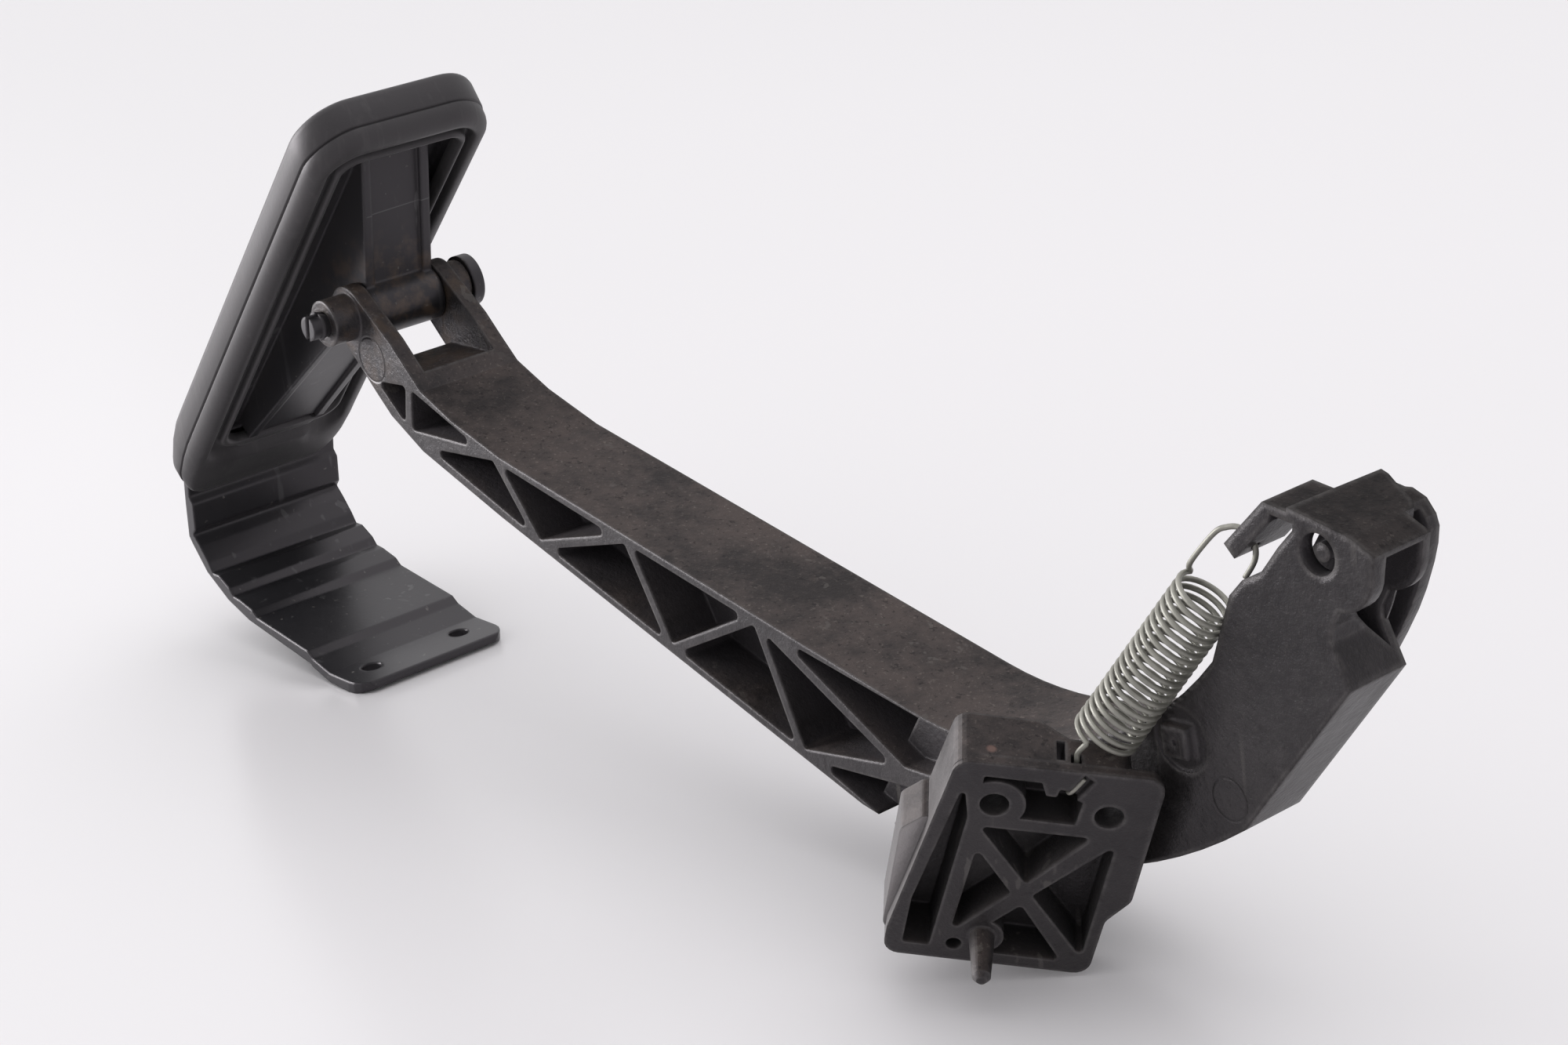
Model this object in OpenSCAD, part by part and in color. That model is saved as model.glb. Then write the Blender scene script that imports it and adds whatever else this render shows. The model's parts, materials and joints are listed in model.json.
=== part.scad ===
// Accelerator pedal: a rubber covered pad on a flexible strap, a truss-ribbed lever with a
// quadrant head, and the bracket that the lever turns on, with its return spring.
// X runs from the pad to the head, Y along the pivot pin, Z up as the part lies on a flat surface.
// The origin is the centre of the bracket's upper left bolt hole, in its mounting face.
// Every piece is drawn with the lever's top flange level, then turned to the way the part lies.

/* [Lever beam] */
// Width of the beam across its flanges
beam_w = 28; // [24:0.5:32]
// Start of the bend, measured along the flange
bend_x = 190; // [180:1:200]
// Inner radius of the bend
bend_r = 84; // [80:1:88]
// Thickness of the top and bottom flanges
flange_t = 1.9; // [1.5:0.1:2.5]
// Thickness of the truss ribs
rib_t = 2.2; // [1.6:0.1:2.8]
// Thickness of the centre web
web_t = 2.4; // [1.6:0.2:3.6]

/* [Fork] */
// Diameter of the fork pin's bore
fork_bore_d = 6; // [5:0.1:7]
// Diameter of the pad's barrel between the ears
barrel_d = 13.5; // [12:0.5:14.5]
// Clear width between the ears
ear_gap = 20; // [18:0.5:21]
// Radius of each ear round its pin
ear_r = 7.4; // [6.8:0.1:8]
// Diameter of the boss outside each ear
boss_d = 11.5; // [10:0.5:13]
// Length of the near boss outside its ear
boss_len = 6.8; // [5:0.2:8]
// Length of the far boss outside its ear
far_boss_len = 4.3; // [3:0.1:6]

/* [Quadrant arm and head] */
// Width of the arm, from cheek to cheek
arm_w = 14.5; // [13.5:0.5:16]
// Wall thickness of the arm
arm_wall = 2.6; // [2:0.1:3.5]
// Thickness of the near cheek of the cable slot
cheek_t = 3.2; // [2.4:0.1:4]
// Thickness of the far cheek of the cable slot
slot_wall_t = 1.8; // [1.4:0.1:2.6]
// Height of the head's roof above the flange
roof_z = 80; // [78:0.5:82]
// Diameter of the hole in the near cheek
cheek_hole_d = 7.8; // [6.6:0.2:8.6]

/* [Pivot] */
// Diameter of the pivot pin
pivot_d = 8; // [7:0.5:10]
// Distance of the pivot along the flange
pivot_x = 217; // [214:0.5:220]
// Depth of the pivot under the flange
pivot_drop = 13; // [11:0.5:15]
// Diameter of the lever's and the bracket's pivot bosses
hub_d = 20; // [17:0.5:22]

/* [Bracket] */
// Diameter of the two bolt holes
bolt_d = 5.5; // [5:0.1:6]
// Distance between the two bolt holes
bolt_gap = 21.3; // [20.5:0.1:22]
// Depth of the bracket's box
box_depth = 13.4; // [12.4:0.2:15]
// Length of the locating peg
peg_len = 11.5; // [8:0.5:14]

/* [Pad and strap] */
// Length of the pad
pad_len = 147.5; // [143:0.5:150]
// Width of the pad over its rubber
pad_w = 51; // [50:0.5:54]
// Depth of the pad from its front to its back lip
pad_depth = 12.4; // [11:0.2:14]
// Width of the strap and its foot
strap_w = 45.5; // [42:0.5:46]
// Diameter of the two screw holes in the foot
foot_hole_d = 5.4; // [4:0.2:6]

/* [Spring] */
// Diameter of the spring over its wire
coil_d = 12.7; // [11.5:0.1:13]
// Diameter of the wire
wire_d = 1.1; // [1:0.05:1.4]
// Number of turns
coil_turns = 20; // [16:1:24]

/* [Hidden] */
$fn = 48;
clear = 0.05;
seat = 0.3;
lie_angle = 12.1;
cut = 0.5;
half_w = beam_w / 2;

// Places on the lever, as distances along the flange and heights over it
fork_at = [-12, 13.5];
pivot_at = [pivot_x, -pivot_drop];
window_x = 14.1;
arm_near = -8.5;
arm_far = arm_near + arm_w;
fin_far = 15;
fin_t = 3;
heel_at = [177.5, 103.7];
heel_r = 132.9;
arm_turn = 47;
hook_eye = [265.9, -4.5, 68.3];
shelf_at = [294.6, 51.8];
valley_at = [289, 61.5];
knob_at = [288.4, 73.2];
knob_r = 8.1;
roof_end_x = 290.5;
hole_at = [284.4, 74.1];
catch_at = [257.6, 24];
catch_d = 8.6;
catch_h = 1.8;
catch_recess = 0.5;

// The mounting face: its turn about Z, its lean and its roll, and its bolt holes
bolt_at = [237.4, -35.3, 10.6];
face_turn = 48.3;
face_lean = 10.4;
face_roll = 6.3;

// The pad: its front face leans back from its lower end
pad_lean = 55.5;
pad_foot_at = [-65.3, -14.1];
pad_low = -46;
pad_top = pad_low + pad_len;
pad_corner_r = 13;
pad_mid = -1.5;
skin_t = 3;
lip_w = 9.5;
plate_t = 3;
band_s = -27.5;
gusset_wall = 2.4;
panel_drop = 1;
foot_tilt = 10.5;

// The pieces' colours
black_plastic = [0.09, 0.09, 0.09];
dusty_plastic = [0.16, 0.15, 0.14];
black_rubber = [0.13, 0.13, 0.13];
galvanised = [0.62, 0.63, 0.58];
pin_steel = [0.4, 0.4, 0.4];

// Turns a piece from the lever's level frame to the way the part lies
module lie() {
    rotate([0, lie_angle, 0])
        translate(-bolt_at)
            children();
}

// Extrudes a side view, drawn as distance and height, across the lever from y0 to y1
module across(y0, y1) {
    translate([0, y1, 0])
        rotate([90, 0, 0])
            linear_extrude(y1 - y0)
                children();
}

// A round bar along Y
module bar(at, d, y0, y1, d1 = 0) {
    translate([at[0], y1, at[1]])
        rotate([90, 0, 0])
            cylinder(h = y1 - y0, d1 = d, d2 = d1 > 0 ? d1 : d);
}

// Points along an arc in a side view, from angle a0 to a1
function arc(at, r, a0, a1, n = 12) =
    [for (i = [0:n]) let (a = a0 + (a1 - a0) * i / n) at + r * [cos(a), sin(a)]];

function unit(v) = v / norm(v);

// An outline with each corner rounded by r, or by less where its edges are short
function rounded(points, r, n = 5) =
    let (count = len(points)) [for (i = [0:count - 1]) let (
        p = points[i],
        to_last = unit(points[(i + count - 1) % count] - p),
        to_next = unit(points[(i + 1) % count] - p),
        shorter = min(norm(points[(i + count - 1) % count] - p), norm(points[(i + 1) % count] - p)),
        half = acos(max(-1, min(1, to_last * to_next))) / 2,
        reach = min(r / tan(half), shorter * 0.45),
        q = reach * tan(half),
        centre = p + unit(to_last + to_next) * q / sin(half),
        a0 = atan2(p[1] + to_last[1] * reach - centre[1], p[0] + to_last[0] * reach - centre[0]),
        a1 = atan2(p[1] + to_next[1] * reach - centre[1], p[0] + to_next[0] * reach - centre[0]),
        sweep = a1 - a0 > 180 ? a1 - a0 - 360 : a1 - a0 < -180 ? a1 - a0 + 360 : a1 - a0)
            each half > 88 ? [p] : arc(centre, q, a0, a0 + sweep, n)];

// An outline with each of its sides moved in by d; all its corners point outwards
function inset(points, d) =
    let (count = len(points)) [for (i = [0:count - 1]) let (
        p = points[i],
        u = unit(points[(i + count - 1) % count] - p),
        w = unit(points[(i + 1) % count] - p))
            p + (u + w) * d / abs(u[0] * w[1] - u[1] * w[0])];

// The angle at which a line from point p touches a circle
function touch(at, r, p, side) = atan2(p[1] - at[1], p[0] - at[0]) + side * acos(r / norm(p - at));

// Lever: side views

// Lower edge of the beam
belly = [[-1.4, -2.6], [5, -6.6], [18, -11], [50, -15.4], [heel_at[0], heel_at[1] - heel_r]];

// Slope of the flange between the fork and the level part
neck = [[5.7, 13], [12, 8.8], [18.3, 4.8], [31, 1.9], [50, 0], [bend_x, 0]];

module beam_side() {
    far_end = arc([bend_x, bend_r], bend_r, -90, -55, 10);
    heel = arc(heel_at, heel_r, -90, -66, 10);
    polygon(concat(neck, far_end, [for (i = [10:-1:0]) heel[i]], [for (i = [3:-1:0]) belly[i]]));
}

// The ears run from the barrel's pin down to the beam's neck
module ear_side() {
    crown = arc(fork_at, ear_r, touch(fork_at, ear_r, neck[0], 1),
        360 + touch(fork_at, ear_r, belly[0], -1), 16);
    polygon(concat(crown, [belly[0], belly[1], [window_x, -8], [window_x, 6], neck[1], neck[0]]));
}

module elbow_side() {
    inner = arc([bend_x, bend_r], bend_r, -90, -29, 16);
    outer = arc(heel_at, heel_r, -90 + arm_turn, -90, 16);
    head = [[266, 58], [268.6, 62.2], [272.4, 65.1], [275.8, 71.8], [278.5, 76.2], [278.5, roof_z]];
    knob_top = [[roof_end_x, roof_z], [296.3, roof_z - 1.4]];
    knob = arc(knob_at, knob_r, 8, -78, 8);
    valley = [valley_at, [289.4, 59], shelf_at];
    polygon(concat(inner, head, knob_top, knob, valley, outer));
}

// Joints of the truss, where the middles of its ribs and flanges meet
function on_top(x) = [x, lookup(x, neck) + (rib_t / 2 - flange_t)];
function on_belly(x) = [x, lookup(x, belly) - (rib_t / 2 - flange_t)];
heel_joint = [190, -15];
truss = [
    [[-3.4, 1], on_top(13) - [0, 2], on_belly(12)],
    [on_top(13) - [0, 2.4], on_top(47.5), on_belly(12.6)],
    [on_belly(15.5), on_top(47.5), on_belly(65)],
    [on_top(47.5), on_top(97.5), on_belly(65)],
    [on_belly(65), on_top(97.5), on_belly(113.8)],
    [on_top(97.5), on_top(142.3), on_belly(113.8)],
    [on_belly(113.8), on_top(142.3), on_belly(158.5)],
    [on_top(142.3), heel_joint, on_belly(158.5)],
    [on_top(144), [204, 1], [198.5, -13], heel_joint],
    [on_belly(158.5), [195.5, -15.6], [187.6, -31]]
];

// Slot for the cable: from its inner mouth to between the cheeks
module slot_side() {
    polygon([[262, 52], [270, 52], [300, 52], [300, roof_z - 2.4], [279, roof_z - 2.4], [272, 75],
        [262, 62]]);
}

// The slot across the arm: its floor falls to the far wall
module slot_across() {
    polygon([[arm_near + cheek_t, roof_z], [arm_near + cheek_t, 66], [arm_far - slot_wall_t, 55],
        [arm_far - slot_wall_t, roof_z]]);
}

// Hook over the spring's end: a plate from the roof and a leg turned down
module hook_leg_side() {
    polygon([[271.3, roof_z - 1.2], [roof_end_x, roof_z], [roof_end_x, roof_z - 2], [273.2, roof_z - 2.8],
        [273, roof_z - 4.6], [266.4, 65.5], [263.7, 67.4]]);
}

// Far fin of the head, with a rounded outline
module fin_side() {
    polygon([[270, 60], [277, roof_z - 1.4], [283.1, roof_z - 1.2], [284.7, roof_z - 0.7], [287.9, 78.7],
        [290.3, 76.6], [291.3, 74.6], [291.5, 71.3], [291.2, 67.5], [290.3, 61.8], [289.2, 57.2],
        [287.4, 51.6], [286, 47.7], [280, 40], [268, 46]]);
}

module roof_plan() {
    polygon([[276.8, arm_near], [roof_end_x, arm_near], [roof_end_x, arm_far + 2.4], [288.9, arm_far + 4.1],
        [283.9, fin_far - 2.6], [279.6, fin_far - 0.4], [277.6, fin_far]]);
}

module fork_and_beam() {
    difference() {
        union() {
            across(-half_w, half_w) ear_side();
            across(-half_w, half_w) beam_side();
        }
        // window between the ears
        across(-ear_gap / 2, ear_gap / 2)
            polygon([[-30, -30], [-2.2, -30], [-2.8, -2], [-4.2, 2.4], [window_x, 6.2], [window_x, 40],
                [-30, 40]]);
        // truss pockets on both sides of the web
        for (side = [-1, 1])
            translate([0, side * (half_w + web_t / 2) / 2, 0])
                across(-(half_w - web_t / 2) / 2 - (side < 0 ? cut : 0),
                    (half_w - web_t / 2) / 2 + (side > 0 ? cut : 0))
                    for (pocket = truss)
                        polygon(rounded(inset(pocket, rib_t / 2), 1.1));
        // room for the bracket beside the bend
        translate([0, -half_w - cut, 0])
            linear_extrude(90, center = true)
                polygon([[208, 0], [222, half_w + cut + arm_near], [260, half_w + cut + arm_near], [260, 0]]);
        bar(pivot_at, hub_d + 2, -half_w - cut, arm_near - 1);
    }
}

// Hollows of the arm's far side, between its ribs
arm_hollows = [
    [[230, -15.2], [250.5, -4.3], [245, 19], [229, 6]],
    [[253, -2.2], [270.5, 12.8], [262, 35], [248, 22]],
    [[272.6, 15.6], [288.6, 46.6], [270, 47], [264.5, 37]]
];

// Flange along the outer rim, which narrows from the beam's width to the arm's
module heel_flange() {
    intersection() {
        across(arm_far - cut, half_w + cut)
            polygon(concat(arc(heel_at, heel_r, -80, -45), arc(heel_at, heel_r - arm_wall, -45, -80)));
        linear_extrude(80, center = true)
            polygon([[216, 0], [228, half_w - 0.2], [268, arm_far], [268, 0]]);
    }
}

module arm_body() {
    heel_flange();
    difference() {
        across(arm_near, arm_far) elbow_side();
        across(arm_near + arm_wall, arm_far + cut)
            for (hollow = arm_hollows)
                polygon(rounded(hollow, 2));
        intersection() {
            across(arm_near + cheek_t, arm_far - slot_wall_t) slot_side();
            translate([255, 0, 0])
                rotate([90, 0, 90])
                    linear_extrude(60)
                        slot_across();
        }
    }
}

module head_parts() {
    // fin beyond the slot, dished on the side that faces it
    difference() {
        across(arm_far - cut, fin_far) fin_side();
        across(arm_far, fin_far - fin_t)
            polygon([[279, 48], [300, 48], [300, roof_z - 2.2], [281, roof_z - 2.2]]);
    }
    // roof over both
    translate([0, 0, roof_z - 2.2])
        linear_extrude(2.2)
            roof_plan();
    // hook
    difference() {
        across(arm_near, 4.5) hook_leg_side();
        translate(hook_eye)
            rotate([0, 123, 0])
                cylinder(h = 12, d = 2, center = true);
    }
    // cable stub inside the cheek hole
    bar(hole_at, 3.6, arm_near + 1.2, arm_far - cut);
    // catch on the near face
    near_boss(catch_at, catch_d, catch_h, 4);
}

// A boss on the arm's near face, h high, with a number of sides
module near_boss(at, d, h, sides) {
    translate([at[0], arm_near + cut + catch_recess, at[1]])
        rotate([90, 30, 0])
            cylinder(h = h + cut + catch_recess, d = d, $fn = sides);
}

module lever() {
    color(dusty_plastic)
        difference() {
            union() {
                fork_and_beam();
                arm_body();
                head_parts();
                for (side = [-1, 1])
                    bar(fork_at, boss_d, side < 0 ? -half_w - boss_len : half_w - cut,
                        side < 0 ? -half_w + cut : half_w + far_boss_len);
                bar(pivot_at, hub_d, arm_near - 1, half_w);
            }
            bar(fork_at, fork_bore_d + 2 * clear, -half_w - boss_len - cut, half_w + far_boss_len + cut);
            bar(pivot_at, pivot_d + 2 * clear, arm_near - 2, half_w + cut);
            // round recess and pit of the catch
            difference() {
                bar(catch_at, 13, arm_near - 1, arm_near + catch_recess);
                near_boss(catch_at, catch_d, catch_h, 4);
            }
            bar(catch_at, 1.2, arm_near - catch_h - cut, arm_near - catch_h + 0.6);
            difference() {
                bar(hole_at, cheek_hole_d, arm_near - cut, arm_near + cheek_t + cut);
                bar(hole_at, 3.6, arm_near + 1.2, arm_near + cheek_t + 2);
            }
        }
}

// Bracket

// Turns a piece from the mounting face's frame: x right, y up, z out of the face
module on_face() {
    translate(bolt_at)
        rotate([90 + face_lean, face_roll, face_turn])
            children();
}

// The directions of the face frame's x and of the face's outward side
face_x = [cos(face_turn) * cos(face_roll), sin(face_turn) * cos(face_roll), -sin(face_roll)];
face_z = [cos(face_turn) * sin(face_roll) * cos(90 + face_lean) + sin(face_turn) * sin(90 + face_lean),
    sin(face_turn) * sin(face_roll) * cos(90 + face_lean) - cos(face_turn) * sin(90 + face_lean),
    cos(face_roll) * cos(90 + face_lean)];

bolt_b = [bolt_gap, 0.1];
peg_at = [2.9, -34.7];

// The face, with its chamfer at the lower right
face_corners = [[-8.4, 9.9], [-15.3, -35], [-15.3, -41.8], [24.5, -41.8], [25.3, -27], [29.3, -21],
    [30.4, 10.8]];

// Pockets between the ribs of the cross
cross_pockets = [
    [[-2, -5.9], [19.2, -5.7], [9, -19.6]],
    [[-1.6, -11.5], [6.6, -22.3], [-3.3, -34.5]],
    [[23.9, -6.8], [10.6, -22.4], [22.5, -37.5]],
    [[9, -25.2], [4, -31], [4, -38.9], [18.8, -39]]
];
left_pocket = [[-6.2, 4.6], [-4.4, -4], [-6.7, -38.6], [-11.9, -38.6], [-11.7, -26.5]];
top_pocket = [[-2.9, 6.8], [7.8, 6.8], [9, 3.7], [11, 3.7], [11.2, 5.7], [12.8, 5.5], [14.4, 3.7], [16, 2.9],
    [15.5, -2.8], [-2.9, -2.8]];

// The box behind the face, deep on the left and shallow on the right
right_depth = 9.3;
box_plan = [[-20, 1], [-20, -box_depth], [7, -box_depth], [12.5, -right_depth],
    [24.4, -right_depth], [24.4, 1]];
box_corners = [[-8.4, 9.9], [-15.3, -35], [-15.3, -41.8], [24.4, -41.8], [24.4, 9.9]];
bulge_corners = [[-12, -8], [0, -8], [0, -41.8], [-13.2, -41.8], [-15.9, -37], [-15.9, -12]];

module slab(z0, z1) {
    translate([0, 0, z0])
        linear_extrude(z1 - z0)
            children();
}

module bracket_box() {
    intersection() {
        slab(-box_depth, -1) polygon(rounded(box_corners, 3));
        translate([0, 20, 0])
            rotate([90, 0, 0])
                linear_extrude(80)
                    polygon(box_plan);
    }
}

module bracket_hollows() {
    difference() {
        slab(-8.2, 1) {
            for (pocket = cross_pockets)
                polygon(rounded(pocket, 0.8));
            polygon(rounded(top_pocket, 0.5));
        }
        translate([0, 0, -9]) cylinder(h = 12, r = 5.8);
        translate([peg_at[0], peg_at[1], -9]) cylinder(h = 12, r = 4.2);
    }
    slab(-box_depth + 2.4, 1) polygon(rounded(left_pocket, 0.6));
    for (at = [[0, 0], bolt_b])
        translate([at[0], at[1], -box_depth - 5])
            cylinder(h = box_depth + 6, d = bolt_d);
    translate([-2.1, -37.5, -6])
        cylinder(h = 7, d = 3);
    // notch in front of the top wall for the end of the spring's wire
    slab(-1.65, 1) polygon([[12.2, 3.4], [14.4, 2.8], [17.2, 8.4], [15.2, 9.9]]);
    // slots in the top wall: a blind one, and the one that the spring's wire comes through
    translate([10, 2, -8.4])
        cube([1.6, 12, 5]);
    translate([12.6, 3, -5.2])
        cube([2, 9, 2.6]);
}

module bracket() {
    color(dusty_plastic)
        difference() {
            union() {
                on_face() {
                    slab(-2.4, 0) polygon(rounded(face_corners, 3.4));
                    bracket_box();
                    slab(-box_depth, -3.2) polygon(rounded(bulge_corners, 2));
                    translate([peg_at[0], peg_at[1], -1])
                        cylinder(h = peg_len, d1 = 5.2, d2 = 3.6);
                    translate([peg_at[0], peg_at[1], peg_len - 1])
                        cylinder(h = 1, d1 = 3.6, d2 = 2);
                }
                // hub that carries the pivot pin
                bar(pivot_at, hub_d, -30, arm_near - 1 - seat);
            }
            on_face() bracket_hollows();
            bar(pivot_at, pivot_d, -26, arm_near);
        }
}

// Pins

module pivot_pin() {
    color(pin_steel) {
        bar(pivot_at, pivot_d, -26, half_w + seat + 0.5);
        bar(pivot_at, pivot_d + 5, half_w + seat, half_w + seat + 2.4);
    }
}

module fork_pin() {
    pin_end = half_w + boss_len;
    head_end = half_w + far_boss_len;
    color(black_plastic)
        difference() {
            union() {
                bar(fork_at, fork_bore_d, -pin_end - 4.6, head_end + 1);
                bar(fork_at, 13, head_end + seat, head_end + seat + 3);
                // barbed end
                bar(fork_at, fork_bore_d, -pin_end - 2, -pin_end - seat, 7.2);
            }
            // slit that lets the barbed end spring in
            translate([fork_at[0], -pin_end - 2, fork_at[1]])
                cube([1.4, 9, 12], center = true);
        }
}

// Pad

// A point of the side view, from its place up along the pad and its depth from the front
function pad_point(p) =
    pad_foot_at + p[0] * [cos(pad_lean), sin(pad_lean)] + p[1] * [sin(pad_lean), -cos(pad_lean)];

// Places a solid in the pad's frame: x up along the pad, y across, z into its depth
module on_pad() {
    translate([pad_foot_at[0], pad_mid, pad_foot_at[1]])
        rotate([180, -pad_lean, 0])
            children();
}

// The pad seen square on, as a rounded rectangle
module pad_outline(gap = 0) {
    w = pad_w / 2 - gap;
    top = pad_top + 1.8 - gap;
    low = pad_low - 10 + gap;
    polygon(rounded([[low, 3 - w], [low, w - 3], [low + 16, w], [top, w], [top, -w], [low + 16, -w]],
        pad_corner_r - gap));
}

// The pad from the side: crowned at the top, curved back at its lower end
function pad_side(gap = 0) = [[pad_top - gap, pad_depth - gap], [pad_top + 2.8 - gap, 1 + gap],
    [pad_top - 2.4, gap], [-28, 0.4 + gap], [-41.6 + gap / 2, 3.8 + gap],
    [-41.6 + gap / 2 - (pad_depth - 3.8 - 2 * gap) * 1.2, pad_depth - gap]];

// A plan of the pad raised through its whole depth
module on_pad_flat() {
    on_pad()
        translate([0, 0, -4])
            linear_extrude(pad_depth + 8)
                children();
}

module pad_body(gap) {
    intersection() {
        on_pad_flat() pad_outline(gap);
        across(-pad_w, pad_w)
            polygon([for (p = pad_side(gap)) pad_point(p)]);
    }
}

module pad_cover() {
    lip_edge = pad_w / 2 - lip_w;
    opening = [[pad_top - lip_w, -lip_edge], [pad_top - lip_w, lip_edge], [band_s, lip_edge],
        [band_s, -lip_edge]];
    color(black_rubber)
        difference() {
            pad_body(0);
            pad_body(skin_t);
            // opening in the back, inside the lip
            on_pad()
                slab(skin_t + 1, pad_depth + 4)
                    polygon(rounded(opening, 4));
            // mouth for the strap
            across(-strap_w / 2 - seat, strap_w / 2 + seat) strap_mouth_side();
        }
}

module strap_mouth_side() {
    polygon([for (p = [[-26.2, 5.2], [-44, 5.9], [-48.6, 6.6], [-58, 9], [-58, 17], [-51.2, 13.4],
        [-50, 11.8], [-46.8, 9.9], [-42, 8.9], [-26.2, 9]]) pad_point(p)]);
}

// Strap in side view: stepped ridges with thin bending grooves between them
module strap_side() {
    polygon(rounded([[-76, -40], [-81, -48.1], [-86.4, -58], [-86.5, -65.6], [-86.2, -75.5], [-84.6, -77.2],
        [-77.9, -83], [-67.7, -87], [-57.4, -88.6], [-27.3, -87.9], [-26, -88.4], [-18, -89.2], [-6, -87.2],
        [-2.4, -85.4],
        [-3.4, -83.6], [-18, -86.6], [-26, -86], [-28.6, -84.8], [-53.3, -86.2], [-55.7, -84.9], [-62, -84.6],
        [-65, -84.9], [-67, -83.2], [-72, -81.6], [-75, -82.2], [-77, -79.9], [-81, -76.4], [-84, -74.2],
        [-82.6, -72], [-82.8, -64.6], [-84.4, -63], [-84.2, -58], [-80.1, -48.6], [-73.6, -41]], 0.5, 3));
}

module foot_plan() {
    w = strap_w / 2;
    polygon(rounded([[-130, -w], [-2, -w], [-2, w], [-130, w]], 7));
}

module pedal_plate() {
    inner_t = skin_t + seat;
    rim = pad_w / 2 - 8;
    color(black_plastic)
        difference() {
            union() {
                // plate inside the rubber, with a rim round it
                difference() {
                    pad_body(inner_t);
                    on_pad()
                        slab(inner_t + plate_t, 40)
                            polygon([[pad_top - 8, -rim], [pad_top - 8, rim], [pad_low + 14, rim],
                                [pad_low + 14, -rim]]);
                }
                gusset();
                bar(fork_at, barrel_d, -ear_gap / 2 + seat, ear_gap / 2 - seat);
                // strap and foot
                intersection() {
                    across(-strap_w / 2, strap_w / 2) strap_side();
                    translate([0, 0, -120])
                        linear_extrude(100)
                            foot_plan();
                }
            }
            bar(fork_at, fork_bore_d + 2 * clear, -ear_gap, ear_gap);
            for (y0 = [-13.5, 13.5])
                translate([-12.2, y0, -87])
                    rotate([0, -foot_tilt, 0])
                        cylinder(h = 12, d = foot_hole_d, center = true);
        }
}

// The gusset from the side, from along the plate to the barrel; its long sides moved in by drop
module gusset_side(drop) {
    low = band_s + 0.4 + drop * abs(drop) / 5;
    base = 5 + 0.55 * drop;
    top = drop > 2 ? [78, 10.4] : [88 - drop, 7.6 - drop];
    polygon([pad_point([top[0], base]), pad_point([low, base]), pad_point([low, pad_depth - drop]),
        fork_at + [-4.2 - 0.7 * drop, -1.6 + 0.7 * drop], fork_at + [-0.3, 0.1] * drop,
        fork_at + [1.6 - drop, 6], pad_point(top)]);
}

// The gusset's plan, wider at the plate's lower end, from its near side to its far side
module gusset_plan(near, far) {
    polygon([[96, near], [38, near], [band_s - 4, near + 1.6], [band_s - 4, far - 2.8], [38, far],
        [96, far]]);
}

module gusset_block(gap, drop, far_gap) {
    intersection() {
        across(-pad_w, pad_w) gusset_side(drop);
        on_pad()
            linear_extrude(60)
                gusset_plan(ear_gap / 2 - 0.6 + pad_mid - gap, -ear_gap / 2 + 0.6 + pad_mid + far_gap);
    }
}

// The gusset's walls, and the panels between them just under their edges; open on its far side
module gusset() {
    difference() {
        union() {
            difference() {
                gusset_block(0, 0, 0);
                gusset_block(gusset_wall, -1, gusset_wall);
            }
            gusset_block(gusset_wall / 2, panel_drop, gusset_wall / 2);
        }
        difference() {
            gusset_block(gusset_wall - 0.2, panel_drop + 2, -20);
            bar(fork_at, barrel_d - 1, -pad_w - 1, pad_w + 1);
        }
    }
}

// Spring

ring_low = [245.5, -15.9, 21.7];
ring_high = [258.8, -6, 54.2];
coil_r = (coil_d - wire_d) / 2;

coil_axis = unit(ring_high - ring_low);
coil_side = unit(cross(coil_axis, [0, 0, 1]));
coil_up = cross(coil_side, coil_axis);

// A point in the mounting face's frame
function face_point(p) =
    bolt_at + p[0] * face_x + p[1] * cross(face_z, face_x) + p[2] * face_z;

// A point round the coil: its turn in degrees and its place along the axis
function coil_point(turn, along, r = coil_r) =
    ring_low + coil_axis * along + r * (coil_side * cos(turn) + coil_up * sin(turn));

// Normals carried along a path without twisting
function carried(dirs, i, last, done) =
    i == len(dirs) ? done
        : let (n = unit(last - (last * dirs[i]) * dirs[i])) carried(dirs, i + 1, n, concat(done, [n]));

// A round wire along a path of points
module wire(path, d, sides = 6) {
    n = len(path);
    dirs = [for (i = [0:n - 1]) unit(path[min(i + 1, n - 1)] - path[max(i - 1, 0)])];
    first = unit(cross(dirs[0], abs(dirs[0][0]) < 0.8 ? [1, 0, 0] : [0, 0, 1]));
    normals = carried(dirs, 1, first, [first]);
    rings = [for (i = [0:n - 1]) for (k = [0:sides - 1])
        path[i] + d / 2 * (normals[i] * cos(360 * k / sides)
            + cross(dirs[i], normals[i]) * sin(360 * k / sides))];
    walls = [for (i = [0:n - 2]) for (k = [0:sides - 1])
        let (a = i * sides + k, b = i * sides + (k + 1) % sides) [a, a + sides, b + sides, b]];
    ends = [[for (k = [0:sides - 1]) k], [for (k = [sides - 1:-1:0]) (n - 1) * sides + k]];
    polyhedron(points = rings, faces = concat(walls, ends), convexity = 12);
}

module return_spring() {
    steps = 14;
    length = norm(ring_high - ring_low);
    count = coil_turns * steps + 4;
    coil = [for (i = [0:count]) coil_point(28 + 360 * i / steps, length * i / count)];
    low_end = [for (p = [[15.3, 8.3, -0.85], [13.7, 5.1, -0.85], [13.2, 3.8, -1.6], [13.3, 3.9, -3],
        [13.6, 5.4, -4.1], [13.8, 8.9, -4], [13.7, 11, -4.6]]) face_point(p)];
    high_end = [for (p = [[-11, -2.2, -9], [-6.8, -1.5, -1.7], [-4.6, -0.7, 0.2], [-2.4, 0, 0.8], [0, 0, 0],
        [1.6, 0, -1.4], [1.8, -0.1, -4.1], [0.4, -0.5, -7.8]]) hook_eye + p];
    color(galvanised)
        wire(concat(low_end, coil, high_end), wire_d);
}

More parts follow.
